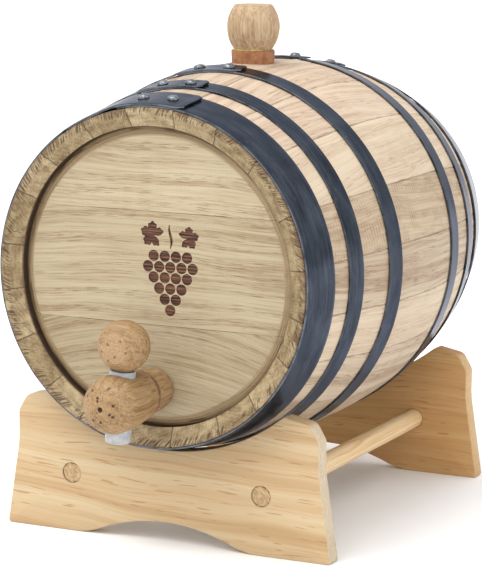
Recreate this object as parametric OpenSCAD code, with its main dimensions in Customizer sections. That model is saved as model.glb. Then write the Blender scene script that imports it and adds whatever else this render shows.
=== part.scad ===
// Table-top oak ageing barrel: a three litre cask on a two-board pine cradle,
// with a wooden knob bung on top and a wooden tap in the front head.
// +Z is up, -Y is the tapped front, z = 0 is the table.

/* [Barrel] */
// Length of the barrel over the stave ends
barrel_len = 220; // [200:1:240]
// Diameter over the staves at the middle
bilge_d = 176; // [168:1:184]
// Slope of the straight front ends of the staves, in degrees
stave_slope = 8.4; // [8:0.1:9]
// How far the staves are bent in front of the middle; behind it they bend to the end
bend_front = 50; // [46:1:56]
// Thickness of the staves
stave_t = 9; // [8:0.5:10]
// How unevenly wide the staves are: 0 is even, 1 as built
unevenness = 1; // [0:0.1:1]
// Height of the barrel axis above the table
axis_h = 123; // [121:0.5:128]

/* [Heads] */
// Depth of the flat head face below the stave ends
head_depth = 7; // [6:0.5:9]
// Thickness of the head boards
head_t = 9; // [8:0.5:10]
// Width of the bevel round the head face
head_bevel = 5.2; // [4:0.1:6]
// Height of the upper board joint above the barrel axis
upper_joint = 29; // [24:1:32]
// Depth of the lower board joint below the barrel axis
lower_joint = 21.5; // [18:0.5:26]
// Depth of the croze groove in the staves
croze_depth = 2.6; // [2:0.1:3]

/* [Hoops] */
// Thickness of the hoop steel
hoop_t = 0.8; // [0.6:0.1:1]
// Width of the two head hoops
head_hoop_w = 21.6; // [20:0.2:23]
// Width of the quarter and bilge hoops
slim_hoop_w = 11.2; // [10:0.2:12]
// Distance from the stave ends to the quarter hoops
quarter_hoop_at = 34.6; // [33:0.2:36]
// Distance from the stave ends to the bilge hoops
bilge_hoop_at = 68.2; // [66:0.2:70]
// Diameter of the domed rivet heads
rivet_head_d = 5.4; // [4.6:0.1:6]

/* [Bung] */
// How far the bung sits in front of the middle of the barrel
bung_forward = 6; // [0:0.5:8]
// Diameter of the bung plug at its top
plug_d = 20.8; // [18:0.2:22]
// Height of the plug above the staves
plug_show = 5.6; // [4:0.1:7]
// Diameter of the turned knob
knob_d = 24.9; // [22:0.1:27]
// Height of the turned knob
knob_h = 21; // [18:0.5:23]

/* [Tap] */
// Depth of the tap axis below the barrel axis
tap_drop = 49.9; // [48:0.1:51]
// Distance the tap stands out from the stave ends
tap_reach = 44.5; // [42:0.5:48]
// Diameter of the tap body
tap_d = 25.7; // [24:0.1:27]
// How far the tap is twisted in its hole, its ball towards +X, in degrees
tap_twist = 4.5; // [0:0.5:6]
// Distance from the front of the tap to the key axis
key_at = 18.5; // [17:0.5:20]
// Diameter of the key stem
key_d = 11.3; // [10.5:0.1:11.6]
// Diameter of the ball handle
ball_d = 22.8; // [21:0.1:24]

/* [Stand] */
// Width of the stand over its feet
stand_w = 164; // [158:1:170]
// Width of the stand above the flare
stand_waist_w = 151.6; // [148:0.2:154]
// Thickness of the stand boards
board_t = 9; // [8:0.5:10]
// Distance between the outer faces of the two boards
stand_len = 187; // [184:1:188]
// Radius of the cradle cut
cradle_r = 92; // [86:1:96]
// Half the distance between the cradle tips
tip_x = 58.6; // [56:0.2:61]
// Diameter of the tie dowels
dowel_d = 9.5; // [8:0.5:10]
// Half the distance between the tie dowels
dowel_x = 47.9; // [44:0.1:52]
// Height of the tie dowels above the table
dowel_h = 27.2; // [24:0.2:30]

/* [Hidden] */
$fn = 180;
fit = 0.05;
clear = 0.3;
far = 400;
past = 1;

// Along the barrel, positions are measured from its middle, positive to the front.
half_len = barrel_len / 2;
mid_y = tap_reach / 2;
front_y = mid_y - half_len;

// Barrel outline: one arc from the rear end to the end of the bend, then its tangent.
bilge_r = bilge_d / 2;
bend_r = bend_front / sin(stave_slope);
bend_centre = bilge_r - bend_r;
function slope_at(a) = a < bend_front ? asin(a / bend_r) : stave_slope;
// Radius at a of the outline moved inwards by inset.
function shell_r(a, inset) = let (r = bend_r - inset)
    bend_centre + (a > r * sin(stave_slope)
        ? r / cos(stave_slope) - a * tan(stave_slope)
        : sqrt(r * r - a * a));
function outer_r(a) = shell_r(a, 0);
function inner_r(a) = shell_r(a, stave_t);

// Ends: depths are measured in from the stave ends; end is 1 at the front, -1 at the rear.
chime_rim = 1;
chime_cut = 5.2;
tongue_t = 4;
tongue_in = head_depth + 3;
tongue_out = tongue_in + tongue_t;
function croze_r(end) = inner_r(end * (half_len - tongue_in)) + croze_depth;
function panel_edge_r(end) = inner_r(end * (half_len - tongue_in)) - 0.3;
pin_r = 2;
pin_half = 12;
pin_play = 0.5;
pin_depth = half_len - head_depth - head_t / 2;
pin_spots = [[-28, upper_joint], [28, upper_joint], [-30, -lower_joint], [30, -lower_joint]];

// Stave joints: degrees by which each one misses even spacing, from the bung stave on.
joint_shifts = [0, 0, -1.1, -1.6, 1.6, 2, 1.1, -0.8, 0.6, -0.9, 0.7,
                -0.6, 0.9, -1, 0.5, 0.8, -0.7, 1.1, -0.9, 0.6, 0];
stave_count = len(joint_shifts) - 1;
stave_gap = 0.04;
function joint_at(i) = (i - 0.5) * 360 / stave_count + unevenness * joint_shifts[i];

// Hoops: [front edge, width, first rivet, second rivet, lap end], angles from the top.
hoop_names = ["front_head_hoop", "front_quarter_hoop", "front_bilge_hoop",
              "rear_bilge_hoop", "rear_quarter_hoop", "rear_head_hoop"];
head_hoop_at = 0.8;
hoops = [
    [half_len - head_hoop_at, head_hoop_w, -6.3, 4.4, 11.5],
    [half_len - quarter_hoop_at, slim_hoop_w, -9.9, 0, 5.2],
    [half_len - bilge_hoop_at, slim_hoop_w, -8.3, 1.5, 6.5],
    [-half_len + bilge_hoop_at + slim_hoop_w, slim_hoop_w, -7.6, 1.5, 6],
    [-half_len + quarter_hoop_at + slim_hoop_w, slim_hoop_w, -5.4, 4, 9],
    [-half_len + head_hoop_at + head_hoop_w, head_hoop_w, -31, -20.4, -14.5]
];
lap_lead = 6;
corner_clip = 2.6;
rivet_d = 2.2;
rivet_root = 0.15;
rivet_head_h = 1.9;

// Bung
plug_top_z = axis_h + bilge_r + plug_show;
plug_len = 19;
plug_taper = 0.055;
plug_edge = 0.6;
bung_y = mid_y - bung_forward;
knob_belly_r = 17;
knob_foot_r = 11;
knob_top_r = 8.2;
knob_edge = 0.8;
spigot_r = 4;
spigot_len = 8;

// Tap: positions along it are measured back from its front end.
tap_r = tap_d / 2;
tap_z = axis_h - tap_drop;
tap_front_y = front_y - tap_reach;
head_face_at = tap_reach + head_depth;
nose_r = 12;
nose_flat = 5;
body_end = 20;
collar_at = 34.5;
collar_r = 10.4;
collar_full = 41;
collar_ease = 47;
groove_r = 1.5;
shank_r = 8.2;
shank_taper = 0.03;
shank_end = head_face_at + head_t + 13;
bore_r = 2.5;
key_y = tap_front_y + key_at;
key_r = key_d / 2;
liner_t = 0.9;
liner_top = 10.6;
liner_bottom = -10.8;
spout_len = 17.8;
key_hollow_r = 3.8;
key_neck_top = 14.2;
neck_r = key_r + 0.2;
ball_z = 24.9;
ball_flat_d = 12.8;
key_spigot_r = 3.6;
key_spigot_len = 9;

// Stand
stand_y = mid_y - 1.5;
hoop_out = fit + hoop_t;
head_hoop_rest = half_len - head_hoop_at - head_hoop_w;
cradle_low = axis_h - outer_r(head_hoop_rest) - hoop_out - clear;
tip_z = cradle_low + cradle_r - sqrt(cradle_r * cradle_r - tip_x * tip_x);
rear_rest = mid_y - (stand_y + stand_len / 2 - board_t);
rear_cradle_low = axis_h - outer_r(rear_rest) - clear;
rear_cradle_rise = tip_z - rear_cradle_low;
rear_cradle_r = (tip_x * tip_x + rear_cradle_rise * rear_cradle_rise) / (2 * rear_cradle_rise);
shoulder_x = 71.3;
shoulder_z = tip_z - 2.4;
waist_top = 54;
flare_top = 40;
arch_half = 47;
arch_h = 9.5;
foot_round = 36;
arch_r = (arch_half * arch_half + arch_h * arch_h) / (2 * arch_h) - foot_round;
dowel_recess = 0.4;

function two_digits(i) = str(i < 10 ? "0" : "", i);
stave_names = [for (i = [1:stave_count]) str("stave_", two_digits(i))];

// ---- Frames ----

// From barrel frame (axis +Z to the front, +Y up) to the part's frame.
module in_barrel() {
    translate([0, mid_y, axis_h]) rotate([90, 0, 0]) children();
}

// From tap frame (axis +Z back from the tap's front end) to the part's frame.
module in_tap() {
    translate([0, tap_front_y, tap_z]) rotate([-90, 0, 0]) children();
}

module at_key() {
    translate([0, key_y, tap_z]) rotate([0, tap_twist, 0]) children();
}

module at_bung() {
    translate([0, bung_y, plug_top_z]) children();
}

// ---- Barrel ----

// Half section of the barrel outline, moved in by inset and run on past both ends.
module belly(inset) {
    r = bend_r - inset;
    ends = half_len + 5;
    bend_end = r * sin(stave_slope);
    bend_end_r = shell_r(bend_end, inset);
    polygon([
        [0, -bend_end], [bend_end_r, -bend_end], [bend_end_r, bend_end],
        [shell_r(ends, inset), ends], [0, ends]
    ]);
    intersection() {
        translate([bend_centre, 0]) circle(r, $fn = 1440);
        translate([0, -ends]) square([far, ends + bend_end]);
    }
}

// What a cooper cuts off one end of a stave: the bevelled chime and the croze.
module end_cuts(end) {
    rim_r = outer_r(end * half_len) - chime_rim;
    foot_r = inner_r(end * half_len) - past;
    polygon([
        [0, half_len + past], [rim_r, half_len + past], [rim_r, half_len],
        [foot_r, half_len - chime_cut], [0, half_len - chime_cut]
    ]);
    translate([0, half_len - tongue_out - fit]) square([croze_r(end), tongue_t + 2 * fit]);
}

module stave_section() {
    difference() {
        intersection() {
            belly(0);
            translate([0, -half_len]) square([far, barrel_len]);
        }
        belly(stave_t);
        end_cuts(1);
        mirror([0, 1]) end_cuts(-1);
    }
}

// Stave 1 is the bung stave on top; the rest follow towards +X.
module stave(i) {
    from = joint_at(i - 1);
    width = joint_at(i) - from - stave_gap;
    color(i % 3 == 0 ? "burlywood" : i % 3 == 1 ? "tan" : "wheat")
    difference() {
        in_barrel() rotate([0, 0, 90 - from - width])
            rotate_extrude(angle = width, $fn = 360) stave_section();
        if (i == 1) at_bung() bung_hole();
    }
}

module bung_hole() {
    depth = plug_show + 2 * stave_t;
    translate([0, 0, -depth])
        cylinder(h = depth, r1 = plug_r_at(depth) + fit, r2 = plug_r_at(0) + fit);
}

function plug_r_at(depth) = plug_d / 2 - depth * plug_taper;

// One head: a bevelled disc whose edge is a tongue that sits in the croze.
module head_disc(end) {
    edge_r = panel_edge_r(end);
    tongue_r = croze_r(end) - fit;
    face = half_len - head_depth;
    back = face - head_t;
    back_bevel = 2;
    rotate_extrude($fn = 256)
        polygon([
            [0, face], [edge_r - head_bevel, face], [edge_r, half_len - tongue_in],
            [tongue_r, half_len - tongue_in], [tongue_r, half_len - tongue_out],
            [edge_r, half_len - tongue_out], [edge_r - back_bevel, back], [0, back]
        ]);
}

module head_pin_rods(r, half) {
    for (p = pin_spots)
        translate([p[0], p[1], pin_depth]) rotate([90, 0, 0])
            translate([0, 0, -half]) cylinder(h = 2 * half, r = r, $fn = 48);
}

// A head board between two heights measured from the barrel axis. The front end is
// drawn as built; the rear end is drawn in the same place and then mirrored.
module head_board(end, low, high) {
    in_barrel() mirror([0, 0, end < 0 ? 1 : 0]) difference() {
        intersection() {
            head_disc(end);
            translate([-far / 2, low + stave_gap / 2, 0]) cube([far, high - low - stave_gap, far]);
        }
        head_pin_rods(pin_r + fit, pin_half + pin_play);
    }
}

module head_top(end) {
    color("burlywood") head_board(end, upper_joint, far / 2);
}

module head_middle(end) {
    color("wheat") head_board(end, -lower_joint, upper_joint);
}

// The front bottom board also holds the shank of the tap.
module head_bottom(end) {
    color("burlywood") difference() {
        head_board(end, -far / 2, -lower_joint);
        if (end > 0)
            in_tap() translate([0, 0, head_face_at - past])
                cylinder(h = head_t + 2 * past, r1 = shank_r_at(-past) + 2 * fit,
                         r2 = shank_r_at(head_t + past) + 2 * fit);
    }
}

function shank_r_at(depth) = shank_r - depth * shank_taper;

module head_pins(end) {
    color("tan") in_barrel() mirror([0, 0, end < 0 ? 1 : 0]) head_pin_rods(pin_r, pin_half);
}

// ---- Hoops ----

// Half section of a hoop layer between two distances outside the staves.
module hoop_section(h, inside, outside) {
    intersection() {
        difference() {
            belly(-outside);
            belly(-inside);
        }
        translate([0, h[0] - h[1]]) square([far, h[1]]);
    }
}

module hoop_ring(h) {
    rotate_extrude($fn = 256) hoop_section(h, fit, hoop_out);
}

// The outer end of the strip lies over the ring and has clipped corners.
module hoop_lap(h) {
    from = h[2] - lap_lead;
    reach = h[4] - from;
    clip = corner_clip * sqrt(2);
    difference() {
        rotate([0, 0, 90 - h[4]]) rotate_extrude(angle = reach, $fn = 256)
            hoop_section(h, fit + hoop_t / 2, hoop_out + hoop_t);
        for (edge = [h[0], h[0] - h[1]])
            rotate([0, 0, -h[4]]) translate([0, bilge_r, edge]) rotate([0, 45, 0])
                cube([clip, bilge_r, clip], center = true);
    }
}

// Carries its children to a rivet: on the hoop's middle line, pointing outwards.
module at_rivet(h, angle) {
    a = h[0] - h[1] / 2;
    rotate([0, 0, -angle]) translate([0, outer_r(a), a]) rotate([-90 + slope_at(a), 0, 0]) children();
}

module hoop(i) {
    h = hoops[i];
    color("dimgray") in_barrel() difference() {
        union() {
            hoop_ring(h);
            hoop_lap(h);
        }
        for (angle = [h[2], h[3]])
            at_rivet(h, angle) cylinder(h = stave_t, r = rivet_d / 2 + 0.02, center = true, $fn = 32);
    }
}

module rivet() {
    seat = hoop_out + hoop_t + 0.03;
    dome_r = (rivet_head_d * rivet_head_d / 4 + rivet_head_h * rivet_head_h) / (2 * rivet_head_h);
    translate([0, 0, rivet_root]) cylinder(h = seat, r = rivet_d / 2, $fn = 32);
    translate([0, 0, seat]) intersection() {
        translate([0, 0, rivet_head_h - dome_r]) sphere(dome_r, $fn = 64);
        cylinder(h = rivet_head_h, r = rivet_head_d / 2, $fn = 64);
    }
}

module hoop_rivets() {
    color("silver") in_barrel()
        for (h = hoops, angle = [h[2], h[3]]) at_rivet(h, angle) rivet();
}

// ---- Bung ----

module bung_plug() {
    color("peru") at_bung() difference() {
        rotate_extrude() polygon([
            [0, 0], [plug_r_at(0) - plug_edge, 0], [plug_r_at(plug_edge), -plug_edge],
            [plug_r_at(plug_len - plug_edge), plug_edge - plug_len],
            [plug_r_at(plug_len) - plug_edge, -plug_len], [0, -plug_len]
        ]);
        translate([0, 0, -spigot_len - past / 2]) cylinder(h = spigot_len + past, r = spigot_r + fit);
    }
}

// A bellied knob: an arc turned about the bung axis, cut flat at both ends.
module bung_knob() {
    rim_r = knob_top_r + knob_edge;
    color("burlywood") at_bung() {
        intersection() {
            translate([0, 0, fit + knob_h / 2]) rotate_extrude() intersection() {
                translate([knob_d / 2 - knob_belly_r, 0]) circle(knob_belly_r, $fn = 256);
                translate([0, -knob_h / 2]) square([knob_d, knob_h]);
            }
            translate([0, 0, fit]) cylinder(h = knob_h, r1 = knob_foot_r, r2 = knob_foot_r + knob_h);
            translate([0, 0, fit]) cylinder(h = knob_h, r1 = rim_r + knob_h, r2 = knob_top_r);
        }
        translate([0, 0, -spigot_len]) cylinder(h = spigot_len + past, r = spigot_r);
    }
}

// ---- Tap ----

// Turned section: domed nose, full body, a burnt groove, then the collar and the shank.
module tap_section() {
    collar_end = head_face_at - clear;
    belly_r = tap_r + 3;
    difference() {
        union() {
            // Nose
            intersection() {
                union() {
                    translate([tap_r - nose_r, nose_r]) circle(nose_r);
                    square([tap_r - nose_r, nose_r]);
                }
                polygon([
                    [0, 0], [nose_flat, 0], [belly_r, nose_r - 3], [belly_r, 2 * nose_r],
                    [0, 2 * nose_r]
                ]);
            }
            // Body, closing in to the collar
            polygon([
                [0, nose_r], [tap_r, nose_r], [tap_r, body_end], [collar_r + 0.7, collar_at],
                [collar_r, collar_full], [collar_r - 0.4, collar_ease],
                [collar_r - 1.4, collar_end], [0, collar_end]
            ]);
        }
        translate([collar_r + 1, collar_at + 0.6]) circle(groove_r);
    }
    polygon([
        [0, collar_end - past], [shank_r, collar_end - past], [shank_r, head_face_at],
        [shank_r_at(shank_end - head_face_at), shank_end], [0, shank_end]
    ]);
}

// The way wine takes: from the barrel end of the shank to the key.
module tap_bore(reach) {
    in_tap() translate([0, 0, key_at]) cylinder(h = reach, r = bore_r, $fn = 64);
}

module tap_body() {
    sleeve_hole = tap_r + past + liner_top + fit;
    color("peru") difference() {
        in_tap() rotate_extrude() tap_section();
        tap_bore(far);
        at_key() translate([0, 0, -tap_r - past])
            cylinder(h = sleeve_hole, r = key_r + liner_t + 2 * fit);
        at_key() cylinder(h = tap_r + past, r = neck_r + 2 * fit);
    }
}

// The plastic sleeve that the key turns in, with a port on the barrel side.
module tap_liner() {
    color("lightgray") difference() {
        at_key() translate([0, 0, liner_bottom])
            cylinder(h = liner_top - liner_bottom, r = key_r + fit + liner_t);
        at_key() translate([0, 0, liner_bottom - past]) cylinder(h = far, r = key_r + fit);
        tap_bore(far);
    }
}

// Hollow stem: closed while its port looks along +X, open a quarter turn on.
module key_stem() {
    color("whitesmoke") at_key() difference() {
        union() {
            translate([0, 0, -spout_len]) cylinder(h = spout_len + liner_top + past, r = key_r);
            translate([0, 0, liner_top + fit])
                cylinder(h = key_neck_top - liner_top - fit, r = neck_r);
            cylinder(h = key_neck_top + key_spigot_len, r = key_spigot_r);
        }
        translate([0, 0, -spout_len - past])
            cylinder(h = spout_len + bore_r + 2 * past, r = key_hollow_r);
        rotate([0, 90, 0]) cylinder(h = key_r + past, r = bore_r, $fn = 64);
    }
}

// A turned ball with flats at the front, at the back and under the neck.
module key_ball() {
    ball_r = ball_d / 2;
    flat_at = sqrt(ball_r * ball_r - ball_flat_d * ball_flat_d / 4);
    color("peru") at_key() difference() {
        translate([0, 0, ball_z]) intersection() {
            sphere(ball_r);
            cube([ball_d + past, 2 * flat_at, ball_d + past], center = true);
        }
        translate([0, 0, ball_z - ball_d])
            cylinder(h = key_neck_top + fit - ball_z + ball_d, r = ball_d);
        cylinder(h = key_neck_top + key_spigot_len + pin_play, r = key_spigot_r + fit);
    }
}

// ---- Stand ----

// What is cut out under a board to leave two feet: an arch with eased ends.
module foot_arch() {
    meet = arch_half * foot_round / (arch_r + foot_round);
    meet_z = foot_round - sqrt(foot_round * foot_round - meet * meet);
    intersection() {
        translate([0, arch_h - arch_r]) circle(arch_r, $fn = 720);
        translate([-arch_half, -past]) square([2 * arch_half, far]);
    }
    difference() {
        translate([-arch_half, -past]) square([2 * arch_half, meet_z + past]);
        for (side = [-1, 1]) translate([side * arch_half, foot_round]) circle(foot_round, $fn = 720);
    }
}

// A board's outline; its cradle is an arc of radius r through the two tips.
module board_outline(r) {
    waist_x = stand_waist_w / 2;
    difference() {
        polygon([
            [-stand_w / 2, 0], [stand_w / 2, 0], [waist_x, flare_top], [waist_x, waist_top],
            [shoulder_x, shoulder_z], [tip_x, tip_z], [-tip_x, tip_z],
            [-shoulder_x, shoulder_z], [-waist_x, waist_top], [-waist_x, flare_top]
        ]);
        translate([0, tip_z + sqrt(r * r - tip_x * tip_x)]) circle(r, $fn = 720);
        foot_arch();
    }
}

// A board whose front face is at y.
module board(y, r) {
    color("moccasin") difference() {
        translate([0, y + board_t, 0]) rotate([90, 0, 0]) linear_extrude(board_t) board_outline(r);
        for (side = [-1, 1])
            translate([side * dowel_x, y - past, dowel_h]) rotate([-90, 0, 0])
                cylinder(h = board_t + 2 * past, r = dowel_d / 2 + fit);
    }
}

module front_board() {
    board(stand_y - stand_len / 2, cradle_r);
}

module rear_board() {
    board(stand_y + stand_len / 2 - board_t, rear_cradle_r);
}

module dowel(side) {
    len = stand_len - 2 * dowel_recess;
    color("navajowhite") translate([side * dowel_x, stand_y - len / 2, dowel_h]) rotate([-90, 0, 0])
        cylinder(h = len, r = dowel_d / 2);
}

// ---- Nodes ----

for (i = [1:stave_count]) stave(i);
head_top(1);  // front_head_top
head_middle(1);  // front_head_middle
head_bottom(1);  // front_head_bottom
head_pins(1);  // front_head_pins
head_top(-1);  // rear_head_top
head_middle(-1);  // rear_head_middle
head_bottom(-1);  // rear_head_bottom
head_pins(-1);  // rear_head_pins
for (i = [0:5]) hoop(i);
hoop_rivets();
bung_plug();
bung_knob();
tap_body();
tap_liner();
key_stem();
key_ball();
front_board();
rear_board();
dowel(-1);  // left_dowel
dowel(1);  // right_dowel
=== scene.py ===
import math
import random

import bmesh
import bpy
from mathutils import Matrix, Vector, noise


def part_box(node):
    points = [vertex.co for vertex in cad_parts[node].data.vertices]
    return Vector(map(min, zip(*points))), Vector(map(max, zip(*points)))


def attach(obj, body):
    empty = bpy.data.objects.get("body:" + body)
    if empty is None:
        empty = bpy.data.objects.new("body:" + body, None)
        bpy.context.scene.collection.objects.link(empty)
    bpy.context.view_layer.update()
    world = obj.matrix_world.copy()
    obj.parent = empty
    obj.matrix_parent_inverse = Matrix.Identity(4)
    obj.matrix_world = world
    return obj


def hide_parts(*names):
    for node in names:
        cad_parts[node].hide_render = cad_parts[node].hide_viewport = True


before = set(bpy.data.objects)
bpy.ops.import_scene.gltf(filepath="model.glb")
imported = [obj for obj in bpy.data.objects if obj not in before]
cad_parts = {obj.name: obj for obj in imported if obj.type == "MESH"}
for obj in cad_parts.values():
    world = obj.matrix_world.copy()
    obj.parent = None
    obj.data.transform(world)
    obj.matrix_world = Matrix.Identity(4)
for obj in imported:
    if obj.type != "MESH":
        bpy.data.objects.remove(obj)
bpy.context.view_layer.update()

MM = 0.001
TAU = 2 * math.pi

# ---------------------------------------------------------------- sizes from the frame

AXIS_Z = (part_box("front_head_top")[1].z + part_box("front_head_bottom")[0].z) / 2
STAVE_LO, STAVE_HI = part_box("stave_01")
MID_Y = (STAVE_LO.y + STAVE_HI.y) / 2
HALF_LEN = (STAVE_HI.y - STAVE_LO.y) / 2
BILGE_R = AXIS_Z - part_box("stave_11")[0].z
STAVES = sorted(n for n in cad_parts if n.startswith("stave_"))

# The barrel's outline: one arc from the rear end to the end of the bend, then its tangent.
# Along it, a is the distance from the middle, positive to the front; end is 1 or -1.
SLOPE = math.radians(8.4)
BEND_FRONT = 50 * MM
BEND_R = BEND_FRONT / math.sin(SLOPE)
BEND_CENTRE = BILGE_R - BEND_R
STAVE_T = 9 * MM
CHIME_CUT = 5.2 * MM
CROZE_FROM = 9.95 * MM
CROZE_TO = 14.05 * MM
CROZE_CUT = 2.6 * MM
HEAD_DEPTH = 7 * MM
HEAD_BEVEL = 5.2 * MM
HEAD_BEVEL_DROP = 3 * MM
FIT = 0.05 * MM
HOOP_T = 0.8 * MM


def slope_at(a):
    """Slope of the stave surface at a."""
    return SLOPE if a > BEND_FRONT else math.asin(a / BEND_R)


def shell_r(a, inset):
    """Radius of the outline moved in by inset."""
    r = BEND_R - inset
    if a > r * math.sin(SLOPE):
        return BEND_CENTRE + r / math.cos(SLOPE) - a * math.tan(SLOPE)
    return BEND_CENTRE + math.sqrt(r * r - a * a)


def outer_r(a):
    return shell_r(a, 0)


def inner_r(a):
    return shell_r(a, STAVE_T)


def croze_r(end):
    return inner_r(end * (HALF_LEN - CROZE_FROM)) + CROZE_CUT


def on_barrel(a, angle, r):
    """A point at a along the barrel, angle from the top towards +X, r from its axis."""
    return Vector((r * math.sin(angle), MID_Y - a, AXIS_Z + r * math.cos(angle)))


def smooth_step(x):
    x = min(max(x, 0), 1)
    return x * x * (3 - 2 * x)


# ---------------------------------------------------------------- mesh helpers


def link_new(name, data):
    """A new object in the scene that holds this data."""
    obj = bpy.data.objects.new(name, data)
    bpy.context.scene.collection.objects.link(obj)
    return obj


def mesh_object(name, verts, faces, material, sharp=35, lay=None):
    """A piece from its points and faces. lay is a point attribute that its material reads."""
    mesh = bpy.data.meshes.new(name)
    mesh.from_pydata(verts, [], faces)
    obj = link_new(name, mesh)
    if lay:
        layer = mesh.attributes.new("lay", "FLOAT_VECTOR", "POINT")
        layer.data.foreach_set("vector", [c for v in lay for c in v])
    finish_mesh(obj, material, sharp)
    return obj


def finish_mesh(obj, material, sharp=35):
    """Outward normals, smooth shading with sharp corners, and the material."""
    work = bmesh.new()
    work.from_mesh(obj.data)
    bmesh.ops.recalc_face_normals(work, faces=work.faces)
    work.to_mesh(obj.data)
    work.free()
    obj.data.polygons.foreach_set("use_smooth", [True] * len(obj.data.polygons))
    obj.data.set_sharp_from_angle(angle=math.radians(sharp))
    obj.data.materials.clear()
    obj.data.materials.append(material)


def add_piece(obj, body, slot, *nodes):
    """The piece rides a body and stands for these CAD nodes, which it hides. slot is not used."""
    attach(obj, body)
    if nodes:
        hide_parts(*nodes)
    return obj


def ring_faces(first, second, closed=True):
    """Quads between two lists of point numbers."""
    last = len(first) if closed else len(first) - 1
    faces = []
    for i in range(last):
        j = (i + 1) % len(first)
        faces.append((first[i], first[j], second[j], second[i]))
    return faces


def fillet(points, steps=5):
    """Rounds the corners of an open profile. A point is (x, y) or (x, y, radius)."""
    out = []
    for i, p in enumerate(points):
        if len(p) == 2 or i in (0, len(points) - 1):
            out.append((p[0], p[1]))
            continue
        here = Vector(p[:2])
        before = (Vector(points[i - 1][:2]) - here).normalized()
        after = (Vector(points[i + 1][:2]) - here).normalized()
        half = before.angle(after) / 2
        if half > math.radians(88):
            out.append((p[0], p[1]))
            continue
        reach = p[2] / math.tan(half)
        centre = here + (before + after).normalized() * (p[2] / math.sin(half))
        start = here + before * reach - centre
        end = here + after * reach - centre
        for k in range(steps + 1):
            turn = start.slerp(end, k / steps)
            out.append(tuple(centre + turn.normalized() * p[2]))
    return out


def spin(profile, segments, point, verts, faces):
    """Adds a turned surface to verts and faces, and returns its rings of point numbers.

    point(r, h, angle) places a corner. A profile point on the axis makes a single corner."""
    rings = []
    for r, h in profile:
        count = segments if r > 0 else 1
        ring = list(range(len(verts), len(verts) + count))
        verts += [point(r, h, TAU * k / segments) for k in range(count)]
        rings.append(ring * (segments // count))
    for first, second in zip(rings, rings[1:]):
        for face in ring_faces(first, second):
            corners = list(dict.fromkeys(face))
            if len(corners) > 2:
                faces.append(corners)
    return rings


def lathe(name, profile, place, material, segments=96, sharp=35, wobble=0):
    """Turns a profile of (radius, height) about the local Z axis and sets it at place.

    wobble is how far the surface wanders from round, as hand-held tools leave it."""
    def point(r, h, angle):
        if wobble and r > 0:
            spot = Vector((math.cos(angle) * 1.5, math.sin(angle) * 1.5, h / (6 * MM)))
            r += wobble * (noise.noise(spot) - 0.5)
        return place @ Vector((r * math.cos(angle), r * math.sin(angle), h))

    verts = []
    faces = []
    spin(profile, segments, point, verts, faces)
    return mesh_object(name, verts, faces, material, sharp)


def cut(obj, cutter):
    """Takes the cutter's solid out of obj and deletes the cutter."""
    step = obj.modifiers.new("cut", "BOOLEAN")
    step.operation = "DIFFERENCE"
    step.solver = "EXACT"
    step.object = cutter
    bpy.context.view_layer.update()
    shape = obj.evaluated_get(bpy.context.evaluated_depsgraph_get())
    mesh = bpy.data.meshes.new_from_object(shape)
    obj.modifiers.clear()
    obj.data = mesh
    bpy.data.objects.remove(cutter)


def cut_turned(obj, profile, place, segments=96):
    """Takes a turned solid out of obj."""
    cut(obj, lathe("cutter", profile, place, None, segments))


# ---------------------------------------------------------------- material helpers


def srgb(r, g, b):
    """A display colour from 0 to 255, as linear RGBA."""
    def linear(c):
        c /= 255
        return c / 12.92 if c <= 0.04045 else ((c + 0.055) / 1.055) ** 2.4
    return (linear(r), linear(g), linear(b), 1.0)


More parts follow.
